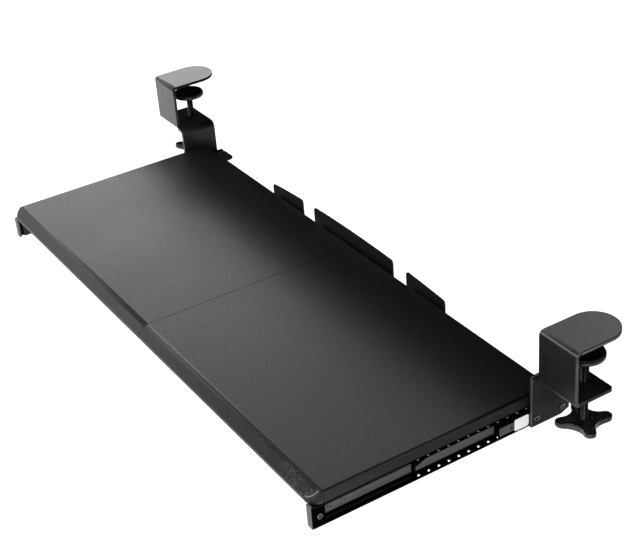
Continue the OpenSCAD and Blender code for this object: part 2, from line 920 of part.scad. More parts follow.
module knob(turn) {
  rotate(turn) difference() {
    union() {
      upright(knob_bot, knob_top) star_outline();
      translate([0, 0, hub_bot]) cylinder(d = hub_d, h = knob_top - hub_bot);
    }
    translate([0, 0, screw_bot]) cylinder(d = screw_d + 2 * fit, h = knob_top - screw_bot + over);
  }
}

module right_clamp_knob() {
  color(black_plastic) translate([clamp_mid, screw_y, 0]) knob(right_turn);
}

module left_clamp_knob() {
  color(black_plastic) translate([-clamp_mid, screw_y, 0]) knob(left_turn);
}

left_clamp_bracket();
right_clamp_bracket();
left_jaw_pad();
right_jaw_pad();
left_clamp_nut();
right_clamp_nut();
left_fixed_rail();
right_fixed_rail();
left_rail_screws();
right_rail_screws();
left_rail_nuts();
right_rail_nuts();
right_rail_label();
left_tray_board();
right_tray_board();
joint_plate();
joint_screws();
left_tray_rail();
right_tray_rail();
left_rail_bracket();
right_rail_bracket();
left_bracket_screws();
right_bracket_screws();
left_rail_rivets();
right_rail_rivets();
left_end_cap();
right_end_cap();
left_ball_cage();
right_ball_cage();
left_slide_balls();
right_slide_balls();
left_pressure_disc();
right_pressure_disc();
left_disc_rubber();
right_disc_rubber();
left_clamp_screw();
right_clamp_screw();
left_clamp_knob();
right_clamp_knob();
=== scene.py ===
"""Looks of a clamp-on sliding tray: finishes for its solids, cut threads and screw heads, studio and camera."""

import json
import math

import bpy
import numpy as np
from mathutils import Matrix, Vector


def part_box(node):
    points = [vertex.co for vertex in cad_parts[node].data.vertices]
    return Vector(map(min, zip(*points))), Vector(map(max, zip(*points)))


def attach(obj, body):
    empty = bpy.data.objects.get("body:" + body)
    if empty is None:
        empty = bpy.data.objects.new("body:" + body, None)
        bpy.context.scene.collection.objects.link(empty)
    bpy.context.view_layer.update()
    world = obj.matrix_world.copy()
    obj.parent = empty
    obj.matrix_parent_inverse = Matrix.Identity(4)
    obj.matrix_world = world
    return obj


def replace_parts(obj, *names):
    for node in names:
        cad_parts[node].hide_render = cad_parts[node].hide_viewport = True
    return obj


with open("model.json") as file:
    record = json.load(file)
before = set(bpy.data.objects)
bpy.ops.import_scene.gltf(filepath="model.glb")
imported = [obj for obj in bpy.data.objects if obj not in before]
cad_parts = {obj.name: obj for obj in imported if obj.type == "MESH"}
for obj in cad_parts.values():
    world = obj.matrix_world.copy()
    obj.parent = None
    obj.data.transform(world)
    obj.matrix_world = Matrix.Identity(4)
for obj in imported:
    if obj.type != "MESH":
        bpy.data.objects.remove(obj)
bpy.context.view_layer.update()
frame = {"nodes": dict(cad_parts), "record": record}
nodes = frame["nodes"]
slot_of = {part["node"]: part["material_slot"] for part in frame["record"]["subparts"]}

MM = 0.001
SIDES = {"left": -1, "right": 1}


# Shader maths

NOISE_ROUGHNESS = 0.55
COOL_BLUE = 1.02


class Value:
    """A socket of a finish. Arithmetic on it adds Math nodes to that finish."""

    def __init__(self, finish, socket):
        self.finish = finish
        self.socket = socket

    def math(self, operation, *terms):
        return self.finish.node("ShaderNodeMath", {"operation": operation}, terms)

    def __add__(self, other):
        return self.math("ADD", self, other)

    def __sub__(self, other):
        return self.math("SUBTRACT", self, other)

    def __rsub__(self, other):
        return self.math("SUBTRACT", other, self)

    def __mul__(self, other):
        return self.math("MULTIPLY", self, other)

    def __pow__(self, other):
        return self.math("POWER", self, other)

    __radd__ = __add__
    __rmul__ = __mul__

    def __abs__(self):
        return self.math("ABSOLUTE", self)

    def larger(self, other):
        return self.math("MAXIMUM", self, other)

    def span(self, other):
        """Distance that is self one way and other at a right angle to it."""
        return (self ** 2.0 + other ** 2.0) ** 0.5

    def step(self, low, high):
        """0 at low, 1 at high, smooth in between."""
        return self.finish.node(
            "ShaderNodeMapRange", {"interpolation_type": "SMOOTHSTEP"}, {0: self, 1: low, 2: high}
        )

    def near(self, middle, outer, inner):
        """1 within inner of the middle, 0 beyond outer."""
        return abs(self - middle).step(outer, inner)


class Finish:
    """The nodes of a material, or of the world, that shape its colour, gloss and relief."""

    def __init__(self, owner, shader="Principled BSDF", **constants):
        self.owner = owner
        owner.use_nodes = True
        self.tree = owner.node_tree
        self.shader = self.tree.nodes[shader]
        for key, value in constants.items():
            self.set(key.replace("_", " "), value)

    def node(self, kind, settings=None, inputs=(), output=0):
        """Adds a node of that type. Settings come first, then the values or links of its sockets."""
        made = self.tree.nodes.new(kind)
        for key, value in (settings or {}).items():
            setattr(made, key, value)
        pairs = inputs.items() if isinstance(inputs, dict) else enumerate(inputs)
        for key, value in pairs:
            self.feed(made.inputs[key], value)
        return Value(self, made.outputs[output])

    def feed(self, socket, value):
        if isinstance(value, Value):
            self.tree.links.new(value.socket, socket)
        else:
            socket.default_value = value

    def set(self, name, value):
        self.feed(self.shader.inputs[name], value)

    def place(self):
        return self.node("ShaderNodeTexCoord", output="Object")

    def parts(self):
        """X, Y and Z of the place on the piece."""
        split = self.node("ShaderNodeSeparateXYZ", inputs=(self.place(),)).socket.node
        return [Value(self, socket) for socket in split.outputs]

    def stretch(self, x, y, z):
        """The place, scaled by a different share each way, for drawn or rolled grain."""
        return self.node("ShaderNodeMapping", inputs={"Vector": self.place(), "Scale": (x, y, z)})

    def mix(self, factor, first, second):
        """Colour between first and second."""
        return self.node(
            "ShaderNodeMix", {"data_type": "RGBA"}, {0: factor, 6: rgba(first), 7: rgba(second)}, output=2
        )

    def noise(self, per_metre, detail=3.0, at=None):
        return self.node("ShaderNodeTexNoise", inputs={
            "Vector": at or self.place(), "Scale": per_metre, "Detail": detail, "Roughness": NOISE_ROUGHNESS,
        })

    def cells(self, per_metre, at):
        """Distance from the middle of the nearest cell, rounded where cells meet."""
        return self.node("ShaderNodeTexVoronoi", {"feature": "SMOOTH_F1"}, {"Vector": at, "Scale": per_metre})

    def relief(self, height, depth, strength):
        """Bump of that depth in metres."""
        bump = self.node("ShaderNodeBump", inputs={"Strength": strength, "Distance": depth, "Height": height})
        self.set("Normal", bump)


def rgba(colour):
    return colour if isinstance(colour, Value) else (*colour, 1.0)


def grey(level):
    """A grey that leans a little to blue."""
    return (level, level, level * COOL_BLUE)


def finish(name, **constants):
    return Finish(bpy.data.materials.new(name), **constants)


# Finishes, and where on the solids they change

# Slide: the bright panel about its middle height, with painted shade beside it; round marks of painted holes; and the
# black ends of rail and cage, also painted shade
SLIDE_MIDDLE = sum(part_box("right_tray_rail"), Vector()).z / 2
PANEL_HALF = 4.2 * MM
MARK_Y, HOLE_Y, MARK_R = -24.9 * MM, -223.5 * MM, 2.6 * MM
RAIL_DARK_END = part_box("right_tray_rail")[0].y + 2.5 * MM
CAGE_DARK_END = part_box("right_ball_cage")[0].y + 4.3 * MM
CAGE_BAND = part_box("right_fixed_rail")[0].y + 2.4 * MM
BAND_HALF = 3.8 * MM
BLUR = 0.3 * MM
WEDGE = 0.35
CAP_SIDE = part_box("right_tray_rail")[1].x

# Boards: the front bevel's rear edge, the circle of the right front corner, and the lines of painted shade along the
# top's edges
BEVEL_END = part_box("right_tray_board")[0].y + 11.0 * MM
CORNER_X, CORNER_Y, CORNER_R = 327.3 * MM, -232.6 * MM, 10.0 * MM
EDGE_SHADE_X, EDGE_SHADE_Y = 340.2 * MM, -231.0 * MM
GRAIN_DRIFT = 2.5 * MM

# Clamps: plate thickness, outer face of the side plate, jaw and bend; then the guard tabs
PLATE_T = 3.5 * MM
PLATE_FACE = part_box("right_clamp_bracket")[0].x + PLATE_T
JAW_HALF = 25.0 * MM
JAW_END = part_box("right_clamp_bracket")[1]
BEND_CROWN = JAW_END.z - 2.1 * MM
GUARD_X, GUARD_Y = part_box("joint_plate")[1].x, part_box("right_tray_board")[1].y


def powder_coat():
    """Satin black powder: orange peel, fine grain and a faint dusty mottle.

    It leaves a black line of painted shade inside a jaw's rim, which is where the distance from the jaw's middle line,
    or from the middle of its round end, nears the half width. On the right clamp, painted highlights make it pale on
    the cut edges and along the bend. The guard tabs behind the boards are made deeper black with painted shade.
    """
    f = finish("powder_coat", IOR=1.34)
    x, y, z = f.parts()
    peel = f.noise(520, 2.0)
    grain = f.noise(2600, 2.0)
    mottle = f.noise(22, 4.0)
    across = abs(abs(x) - (JAW_END.x - JAW_HALF))
    beyond = (y - (JAW_END.y - JAW_HALF)).larger(0.0)
    reach = across.span(beyond)
    under_top = JAW_END.z - z
    jaw = y.step(2.0 * MM, 4.0 * MM)
    # Painted shade: a black line just inside the jaw's rounded rim, made by a metallic share that cuts its reflection.
    rim = jaw * reach.step(JAW_HALF - 1.4 * MM, JAW_HALF - 0.7 * MM) * under_top.step(0.8 * MM, 0.6 * MM)
    # Painted highlights: pale lines on the right clamp's cut edges, along the bend's crown, down the front plate's
    # right edge and along the side plate's bend.
    edge = jaw * under_top.step(0.7 * MM, 1.0 * MM) * under_top.step(PLATE_T - 0.1 * MM, PLATE_T - 0.5 * MM)
    crown = y.step(1.0 * MM, 0.0) * z.near(BEND_CROWN, 0.7 * MM, 0.3 * MM)
    flank = y.step(2.0 * MM, 1.0 * MM) * x.step(JAW_END.x - 0.6 * MM, JAW_END.x - 0.3 * MM)
    lip = y.step(-2.2 * MM, -3.0 * MM) * x.near(PLATE_FACE, 1.3 * MM, 0.5 * MM)
    painted_highlight = x.step(0.0, 0.1) * edge.larger(crown).larger(0.4 * flank).larger(0.6 * lip)
    coat = f.mix(mottle.step(0.35, 0.7), grey(0.007), grey(0.013))
    # Painted shade: the guard tabs behind the boards are made deeper black by a metallic share.
    guard = y.step(GUARD_Y - MM, GUARD_Y) * abs(x).step(GUARD_X + MM, GUARD_X)
    f.set("Base Color", f.mix(painted_highlight, coat, grey(0.15)))
    f.set("Metallic", (0.85 * rim).larger(0.5 * guard))
    f.set("Roughness", 0.30 + 0.1 * mottle + 0.06 * grain)
    f.relief(peel + 0.5 * grain, 0.06 * MM, 0.35)
    return f.owner


def grained_foil():
    """Black foil pressed with a hide grain: crowned cells 1.5 to 3 mm wide, and fine pores.

    Painted shade darkens it along the edges where the top turns down, and over the front bevel towards the right.
    Painted highlights make pale specks on the grain at the bevel's right end, up to a pale line at CORNER_R round the
    middle of the corner.
    """
    f = finish("grained_foil", IOR=1.32)
    x, y, _ = f.parts()
    drift = f.noise(260, 2.0)
    warped = f.node("ShaderNodeVectorMath", {"operation": "MULTIPLY_ADD"}, (drift, (GRAIN_DRIFT,) * 3, f.place()))
    furrow = f.cells(520, warped)
    pores = f.noise(3000, 2.0)
    patch = f.noise(9, 3.0)
    bevel = y.step(BEVEL_END + MM, BEVEL_END - MM)
    # Painted highlights: pale specks on the grain over the bevel's right end.
    painted_highlight = x.step(0.19, 0.33) * f.noise(60, 2.0).step(0.35, 0.6)
    grain_glints = bevel * painted_highlight * f.noise(230, 4.0).near(0.5, 0.06, 0.0)
    away = (x - CORNER_X).span(y - CORNER_Y)
    # Painted highlight: a pale line at CORNER_R round the middle of the right front corner, along the bevel's edge.
    line = away.near(CORNER_R, 0.9 * MM, 0.2 * MM) * x.step(CORNER_X - MM, CORNER_X + 5 * MM)
    # Painted shade: dark lines along the side edge and along the bevel's top edge, where the top turns down.
    side_edge_shade = abs(x).near(EDGE_SHADE_X, 1.3 * MM, 0.4 * MM) * (1.0 - bevel)
    front_edge_shade = y.near(EDGE_SHADE_Y, 0.9 * MM, 0.3 * MM)
    hide = f.mix(side_edge_shade, f.mix(furrow.step(0.15, 0.7), grey(0.012), grey(0.006)), grey(0.004))
    # Painted shade: a metallic share darkens the front bevel and its top edge towards the right.
    front_shade = (0.35 * bevel).larger(0.6 * front_edge_shade) * x.step(-0.15, 0.25)
    f.set("Base Color", f.mix(bevel * line, f.mix(grain_glints, hide, grey(0.055)), grey(0.22)))
    f.set("Metallic", front_shade.larger(0.7 * side_edge_shade))
    f.set("Roughness", 0.33 + 0.10 * patch + 0.08 * furrow)
    f.relief(1.0 - furrow + 0.25 * pores, 0.10 * MM, 0.28)
    return f.owner


def drawn_rail_steel(name, light, dark_end, band):
    """Roll-formed rail with drawing lines along its length: the flat panel is grey, the ball tracks are black with
    painted shade.

    The panel lies within PANEL_HALF of the slide's middle height. Its front end is black up to y = dark_end, and from
    there a black wedge thins out under the upper track, by WEDGE in height for each length; both are painted shade. A
    second black band has its middle at y = band. Dark round marks at MARK_Y and HOLE_Y are painted holes: painted
    shade with painted glints in specks.
    """
    f = finish(name, IOR=1.42, Specular_Tint=rgba(grey(0.0)))
    _, y, z = f.parts()
    lines = f.noise(1.0, 3.0, at=f.stretch(900, 14, 900))
    smear = f.noise(1.0, 4.0, at=f.stretch(60, 12, 60))
    specks = f.noise(1500, 1.0)
    up, past = z - SLIDE_MIDDLE, y - dark_end
    # Painted shade: black in the ball tracks beside the panel, at the front end and in a wedge under the upper track;
    # the band at y = band is black as well.
    track = abs(up).step(PANEL_HALF, PANEL_HALF + 0.7 * MM)
    wedge = (up - WEDGE * past).step(-0.8 * MM, 0.2 * MM)
    belt = y.near(band, BAND_HALF + BLUR, BAND_HALF - BLUR)
    black = track.larger(past.step(BLUR, -BLUR)).larger(wedge).larger(belt)
    # Painted holes: dark round marks of painted shade, with painted glints in specks.
    spots = [((y - middle) ** 2.0 + up ** 2.0).step(MARK_R ** 2, 0.8 * MARK_R ** 2) for middle in (MARK_Y, HOLE_Y)]
    mark = spots[0].larger(spots[1])
    drawn = f.mix((0.6 * lines + 0.4 * smear).step(0.3, 0.75), grey(0.75 * light), grey(1.25 * light))
    panel = f.mix(mark, drawn, f.mix(specks.step(0.58, 0.64), grey(0.004), grey(0.60)))
    f.set("Base Color", f.mix(black, panel, grey(0.006)))
    f.set("Metallic", 0.3 + 0.7 * black.larger(mark))
    f.set("Roughness", 0.36 + 0.14 * smear - 0.06 * lines)
    f.relief(lines + 0.4 * specks, 0.03 * MM, 0.35)
    return f.owner


def polished_ball():
    """Bearing steel: the lower row is bright, the upper row is darker with painted shade."""
    f = finish("polished_ball", Metallic=1.0)
    _, _, z = f.parts()
    film = f.noise(500, 2.0)
    # Painted shade: the upper row of balls is darkened.
    upper = z.step(SLIDE_MIDDLE - MM, SLIDE_MIDDLE + MM)
    steel_tone = f.mix(film.step(0.45, 0.8), grey(0.80), grey(0.55))
    f.set("Base Color", f.mix(upper, steel_tone, grey(0.10)))
    f.set("Roughness", 0.07 + 0.12 * film + 0.08 * upper)
    return f.owner


def plated_thread(name, axis, root_r, crest_r):
    """Black zinc, lighter on the crests with a painted highlight and dark in the roots, by distance from the axis."""
    f = finish(name, Metallic=1.0)
    x, y, _ = f.parts()
    # Painted highlight: the crests are lighter than the roots.
    crest = (x - axis.x).span(y - axis.y).step(root_r, crest_r)
    haze = f.noise(300, 3.0)
    f.set("Base Color", f.mix(crest * (0.6 + 0.4 * haze), grey(0.010), grey(0.12)))
    f.set("Roughness", 0.44 - 0.16 * crest + 0.10 * haze)
    f.relief(f.noise(1800, 2.0), 0.02 * MM, 0.3)
    return f.owner


def pressed_plating():
    """Black zinc on a pressing: cloudy passivation and fine scratches."""
    f = finish("pressed_plating", Metallic=1.0)
    cloud = f.noise(120, 4.0)
    scratch = f.noise(1.0, 2.0, at=f.stretch(2400, 160, 2400))
    f.set("Base Color", f.mix(cloud.step(0.3, 0.7), grey(0.045), (0.085, 0.084, 0.080)))
    f.set("Roughness", 0.32 + 0.16 * cloud)
    f.relief(scratch + cloud, 0.02 * MM, 0.3)
    return f.owner


def black_oxide():
    """Blackened screw steel with pale specks that are painted glints."""
    f = finish("black_oxide", Metallic=1.0)
    tone_noise = f.noise(900, 3.0)
    # Painted glints: pale specks on the dark steel.
    f.set("Base Color", f.mix(tone_noise.step(0.46, 0.62), grey(0.02), grey(0.24)))
    f.set("Roughness", 0.22 + 0.2 * tone_noise)
    f.relief(f.noise(2200, 2.0), 0.02 * MM, 0.4)
    return f.owner


def knob_plastic():
    """Glossy black moulding with flow marks; below the rim its walls are spark-eroded and painted paler, painted light
    on the sides.
    """
    f = finish("knob_plastic", IOR=1.36)
    _, _, z = f.parts()
    face_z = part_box("right_clamp_knob")[1].z
    spark = f.noise(2100, 2.0)
    flow = f.noise(55, 3.0)
    # Painted light: the walls below the rim are paler than the top.
    wall = z.step(face_z - 1.4 * MM, face_z - 2.2 * MM)
    f.set("Base Color", f.mix(wall, f.mix(flow.step(0.3, 0.7), grey(0.008), grey(0.014)), grey(0.050)))
    f.set("Roughness", 0.10 + 0.08 * flow + 0.22 * wall)
    f.relief(spark, 0.03 * MM, 0.25)
    return f.owner


def cap_plastic():
    """Black moulding of the end caps: its front is painted pale as painted light, its outer side black as painted
    shade.
    """
    f = finish("cap_plastic", IOR=1.40, Specular_Tint=rgba(grey(0.0)))
    x, _, _ = f.parts()
    spark = f.noise(2100, 2.0)
    tone_noise = f.noise(140, 3.0)
    # Painted light and shade: the front is painted pale, the outer side black with a full metallic share.
    side = abs(x).step(CAP_SIDE - 0.5 * MM, CAP_SIDE - 0.2 * MM)
    f.set("Base Color", f.mix(side, f.mix(tone_noise.step(0.3, 0.7), grey(0.075), grey(0.11)), grey(0.004)))
    f.set("Metallic", side)
    f.set("Roughness", 0.34 + 0.14 * tone_noise)
    f.relief(spark, 0.04 * MM, 0.3)
    return f.owner


def pad_rubber():
    """Matt rubber with a fine cloth-pressed check and dust."""
    f = finish("pad_rubber", IOR=1.40)
    white, black = rgba(grey(1.0)), rgba(grey(0.0))
    check = f.node("ShaderNodeTexBrick", {"offset": 0.0}, {
        "Vector": f.place(), "Color1": white, "Color2": white, "Mortar": black,
        "Scale": 500.0, "Mortar Size": 0.08, "Brick Width": 0.5, "Row Height": 0.5,
    })
    dust = f.noise(90, 4.0)
    f.set("Base Color", f.mix(dust.step(0.45, 0.8), grey(0.012), grey(0.028)))
    f.set("Roughness", 0.72 + 0.14 * dust)
    f.relief(check, 0.08 * MM, 0.4)
    return f.owner


def blank_paper():
    """White label stock: fibres, a soft coating and slightly greyed patches."""
    f = finish("blank_paper", IOR=1.45)
    fibre = f.noise(1.0, 4.0, at=f.stretch(900, 2600, 900))
    patch = f.noise(160, 2.0)
    f.set("Base Color", f.mix(patch.step(0.4, 0.75), (0.98, 0.98, 0.97), (0.93, 0.93, 0.915)))
    f.set("Roughness", 0.42 + 0.14 * fibre)
    f.relief(fibre, 0.02 * MM, 0.4)
    return f.owner


FINISHES = {
    "black_steel": powder_coat(),
    "board": grained_foil(),
    "black_zinc": drawn_rail_steel("drawn_rail_steel", 0.095, RAIL_DARK_END, RAIL_DARK_END),
    "cage_steel": drawn_rail_steel("cage_strip", 0.105, CAGE_DARK_END, CAGE_BAND),
    "ball_steel": polished_ball(),
    "screw_steel": pressed_plating(),
    "dark_fastener": black_oxide(),
    "black_plastic": cap_plastic(),
    "black_rubber": pad_rubber(),
    "label": blank_paper(),
}


def dress(piece, material):
    piece.data.materials.clear()
    piece.data.materials.append(material)


for name, solid in nodes.items():
    dress(solid, FINISHES[slot_of[name]])


# Edges: a sheet or moulding has no knife edge

JOIN_GAP = 0.005 * MM
EASE_ANGLE = math.radians(40)


def join_triangles(node):
    """Joins the loose triangles of a solid, and drops those without an area."""
    weld = nodes[node].modifiers.new("join", "WELD")
    weld.merge_threshold = JOIN_GAP


def ease_edges(node, width, segments):
    """Joins the solid's triangles and rounds the edges that turn by more than EASE_ANGLE."""
    join_triangles(node)
    bevel = nodes[node].modifiers.new("ease", "BEVEL")
    bevel.width = width
    bevel.segments = segments
    bevel.limit_method = "ANGLE"
    bevel.angle_limit = EASE_ANGLE
    bevel.harden_normals = True


EASED = {
    "clamp_bracket": (0.7 * MM, 3),
    "tray_board": (0.6 * MM, 2),
    "rail_bracket": (0.2 * MM, 2),
    "end_cap": (0.4 * MM, 2),
    "pressure_disc": (0.4 * MM, 2),
    "disc_rubber": (0.4 * MM, 2),
    "jaw_pad": (0.2 * MM, 2),
    "clamp_nut": (0.3 * MM, 2),
}
for side in SIDES:
    for piece, (width, segments) in EASED.items():
        ease_edges(f"{side}_{piece}", width, segments)
    join_triangles(f"{side}_slide_balls")
ease_edges("joint_plate", 0.2 * MM, 2)


# New surfaces

SHARP_ANGLE = math.radians(38)


def add_piece(name, data):
    """A new object of the scene, at the origin."""
    piece = bpy.data.objects.new(name, data)
    bpy.context.scene.collection.objects.link(piece)
    return piece


def circle(columns):
    """Angles of the points of a ring."""
    return np.linspace(0, 2 * np.pi, columns, endpoint=False)


def ring_faces(rows, columns):
    """Quads between neighbouring rings of a grid whose columns wrap round, and a face on each end ring."""
    index = np.arange(rows * columns).reshape(rows, columns)
    beside = np.roll(index, -1, axis=1)
    walls = np.stack([index[:-1], beside[:-1], beside[1:], index[1:]], axis=-1).reshape(-1, 4)
    return walls, index[:1, ::-1], index[-1:]


def ring_surface(name, grids, body, material):
    """One mesh of closed shapes, each a grid of rings (rows, columns, 3)."""
    rows, columns = grids[0].shape[:2]
    faces = [face for i in range(len(grids)) for group in ring_faces(rows, columns)
             for face in (group + i * rows * columns).tolist()]
    mesh = bpy.data.meshes.new(name)
    mesh.from_pydata(np.concatenate(grids).reshape(-1, 3).tolist(), [], faces)
    mesh.validate()
    mesh.shade_smooth()
    mesh.set_sharp_from_angle(angle=SHARP_ANGLE)
    piece = add_piece(name, mesh)
    dress(piece, material)
    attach(piece, body)
    return piece


def stand_in(name, grids, body, node, material):
    """A ring surface in the place of a CAD node."""
    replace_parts(ring_surface(name, grids, body, material), node)


def turned(axis, angle, bands):
    """Rings about a vertical axis. A band is a radius and a height, either one ring of them or a grid of rings."""
    rings = [np.stack(np.broadcast_arrays(axis.x + radius * np.cos(angle), axis.y + radius * np.sin(angle), height),
                      axis=-1) for radius, height in bands]
    return np.concatenate([ring.reshape(-1, len(angle), 3) for ring in rings])


THREAD_PITCH = 1.25 * MM
THREAD_DEPTH = 0.62 * MM
THREAD_RUN_OUT = 3.0 * MM
THREAD_ROWS, THREAD_COLUMNS = 9, 56
VEE_TOP, VEE_SLOPE = 1.35, 2.9
SHOULDER_EDGE = 0.6 * MM
PIN_R, PIN_L, PIN_EDGE = 2.5 * MM, 5.0 * MM, 0.5 * MM


def threaded_rod(side):
    """Rod whose radius falls by the depth of a flat-topped V, taken at height / pitch - angle / turn.

    The V is VEE_TOP less VEE_SLOPE times the distance from half a turn, held between 0 and 1. Every row is one
    height; the thread fades out at both ends, and the last rows are the plain pin.
    """
    node = f"{side}_clamp_screw"
    low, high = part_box(node)
    axis = (low + high) / 2
    crest_r = (high.x - low.x) / 2
    shoulder = high.z - PIN_L
    heights = np.arange(low.z, shoulder, THREAD_PITCH / THREAD_ROWS)[:, None]
    turns = np.linspace(0, 1, THREAD_COLUMNS, endpoint=False)
    phase = (heights / THREAD_PITCH - turns) % 1.0
    vee = np.clip(VEE_TOP - VEE_SLOPE * np.abs(phase - 0.5), 0.0, 1.0)
    fade = np.clip(np.minimum(heights - low.z, shoulder - heights) / THREAD_RUN_OUT, 0.0, 1.0)
    points = turned(axis, 2 * np.pi * turns, [
        (crest_r - THREAD_DEPTH * vee * fade, heights),
        (crest_r - SHOULDER_EDGE, shoulder),
        (PIN_R, shoulder),
        (PIN_R, high.z - PIN_EDGE),
        (PIN_R - PIN_EDGE, high.z),
    ])
    material = plated_thread(f"{side}_plated_thread", axis, crest_r - THREAD_DEPTH, crest_r)
    stand_in(f"{side}_threaded_rod", [points], f"{side}_screw", node, material)


KNOB_TURN = {"left": math.radians(45), "right": math.radians(65)}
KNOB_COLUMNS = 144
ARM_HALF = 5.75 * MM
TIP_OUT = 21.75 * MM
HOLLOW_R = 15.0 * MM
HOLLOW_OUT = ARM_HALF + HOLLOW_R
INNER_R = 0.5 * MM
BORE_R, BORE_FLOOR = 4.05 * MM, 2.0 * MM
HUB_R, HUB_EDGE, HUB_SIDE = 9.0 * MM, 0.5 * MM, 2.0 * MM
RIM_R, FOOT_R = 1.1 * MM, 0.8 * MM
TIP_WALL, HOLLOW_WALL = 4.7 * MM, 7.3 * MM
GROOVE_DEPTH, GROOVE_HALF = 1.8 * MM, 4.6 * MM
GROOVE_START, GROOVE_END = (6.5 * MM, 10.0 * MM), (26.0 * MM, 22.5 * MM)
UNDER_SHARES = np.linspace(1.0, 0.1, 8)[:, None]
TOP_SHARES = np.linspace(0.96, 0.0, 28)[:, None]
QUARTER_TURN = np.linspace(0, np.pi / 2, 5)[:, None]


def ramp(value, low, high):
    """0 at low, 1 at high, 3s^2 - 2s^3 in between."""
    share = np.clip((value - low) / (high - low), 0.0, 1.0)
    return share * share * (3 - 2 * share)


def star_radius(fold):
    """Distance from the knob's middle to its outline, by the angle from the nearest arm.

    It is the far side of the tip's circle, then the straight side of the arm, then the near side of the hollow's
    circle.
    """
    tip = TIP_OUT * np.cos(fold) + np.sqrt(np.maximum(0.0, ARM_HALF ** 2 - (TIP_OUT * np.sin(fold)) ** 2))
    side = ARM_HALF / np.maximum(np.sin(fold), 0.01)
    toward = HOLLOW_OUT * (np.cos(fold) + np.sin(fold))
    hollow = toward - np.sqrt(np.maximum(0.0, toward ** 2 + HOLLOW_R ** 2 - 2 * HOLLOW_OUT ** 2))
    tip_end, side_end = math.atan2(ARM_HALF, TIP_OUT), math.atan2(ARM_HALF, HOLLOW_OUT)
    return np.select([fold < tip_end, fold < side_end], [tip, side], hollow)


def star_knob(side, material):
    """Four-armed knob as rings about its axis: hub, underside, foot, rim, top and bore.

    Each ring is set by its share of the outline's distance. The top sinks along every arm by depth * (1 - a^2)^2,
    a being the distance from the arm's middle over the groove's half width; the foot of the wall falls
    from the tips to the hollows.
    """
    node = f"{side}_clamp_knob"
    low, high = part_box(node)
    axis = (low + high) / 2
    angle = circle(KNOB_COLUMNS)
    fold = np.abs((angle - KNOB_TURN[side] + np.pi / 4) % (np.pi / 2) - np.pi / 4)
    outline = star_radius(fold)
    nearest, farthest = math.sqrt(2) * HOLLOW_OUT - HOLLOW_R, TIP_OUT + ARM_HALF
    foot = high.z - np.interp(outline, [nearest, farthest], [HOLLOW_WALL, TIP_WALL])
    under_r = UNDER_SHARES * HUB_R + (1 - UNDER_SHARES) * (outline - FOOT_R)
    under_z = UNDER_SHARES * (low.z + HUB_SIDE) + (1 - UNDER_SHARES) * foot
    top_r = BORE_R + TOP_SHARES * (outline - RIM_R - BORE_R)
    along, aside = top_r * np.cos(fold), top_r * np.sin(fold)
    groove = np.clip(1 - (aside / GROOVE_HALF) ** 2, 0.0, 1.0) ** 2
    groove = groove * ramp(along, *GROOVE_START) * ramp(along, *GROOVE_END)
    points = turned(axis, angle, [
        (INNER_R, low.z),
        (HUB_R - HUB_EDGE, low.z),
        (HUB_R, low.z + HUB_EDGE),
        (under_r, under_z),
        (outline - FOOT_R + FOOT_R * np.sin(QUARTER_TURN), foot + FOOT_R - FOOT_R * np.cos(QUARTER_TURN)),
        (outline - RIM_R + RIM_R * np.cos(QUARTER_TURN), high.z - RIM_R + RIM_R * np.sin(QUARTER_TURN)),
        (top_r, high.z - GROOVE_DEPTH * groove),
        (BORE_R, low.z + BORE_FLOOR),
        (INNER_R, low.z + BORE_FLOOR),
    ])
    stand_in(f"{side}_star_knob", [points], f"{side}_screw", node, material)


WOOD_HEAD = {"head_r": 3.6 * MM, "head_h": 2.2 * MM, "shank_r": 1.8 * MM}
RAIL_HEAD = {"head_r": 3.1 * MM, "head_h": 1.2 * MM, "shank_r": 2.0 * MM}
CAP_HEAD = {"head_r": 3.0 * MM, "head_h": 1.5 * MM, "shank_r": 1.5 * MM}
SCREW_COLUMNS = 64
CROWN_SHARES = np.linspace(0.03, 1.0, 22)
RIM_SHARE = 0.4
POINT_SHARE = 0.25
RECESS_W, RECESS_SIDE, RECESS_END = 1.05 * MM, 0.25 * MM, 0.9 * MM
RECESS_REACH, RECESS_DEPTH = 0.6, 0.6
SAME_SCREW = 4.0 * MM
NEXT_TURN = 1.9


def slot_share(across, along, half_l):
    """1 inside a slot, 0 outside, with steep sides and sloped ends."""
    inside = np.clip((RECESS_W / 2 - across) / RECESS_SIDE + 0.5, 0, 1)
    return inside * np.clip((half_l - along) / RECESS_END, 0, 1)


def screw_points(seat, axis, length, turn, head_r, head_h, shank_r):
    """One screw as a grid of rings, from its point up: shank, seat, rim and crown.

    The crown is rim + rise * sqrt(1 - r^2 / R^2); the cross recess takes depth away where either of two
    crossed slots covers the ring's point.
    """
    angle = circle(SCREW_COLUMNS)
    crown_r = head_r * CROWN_SHARES
    rim_h = RIM_SHARE * head_h
    crown_h = rim_h + (head_h - rim_h) * np.sqrt(np.maximum(0.0, 1 - (crown_r / head_r) ** 2))
    across = crown_r[:, None] * np.abs(np.cos(angle + turn))
    along = crown_r[:, None] * np.abs(np.sin(angle + turn))
    half_l = RECESS_REACH * head_r
    recess = np.maximum(slot_share(across, along, half_l), slot_share(along, across, half_l))
    side_r = np.array([head_r, shank_r, shank_r, POINT_SHARE * shank_r])
    side_h = np.array([0.0, 0.0, shank_r - length, -length])
    radius = np.concatenate([crown_r, side_r])
    height = np.concatenate([
        crown_h[:, None] - RECESS_DEPTH * head_h * recess, np.repeat(side_h[:, None], len(angle), axis=1)
    ])
    out = np.array(axis, float)
    first = np.cross(out, (0.0, 1.0, 0.0))
    second = np.cross(out, first)
    ring = radius[:, None, None] * (np.cos(angle)[:, None] * first + np.sin(angle)[:, None] * second)
    return (np.array(seat, float) + ring + height[..., None] * out)[::-1]


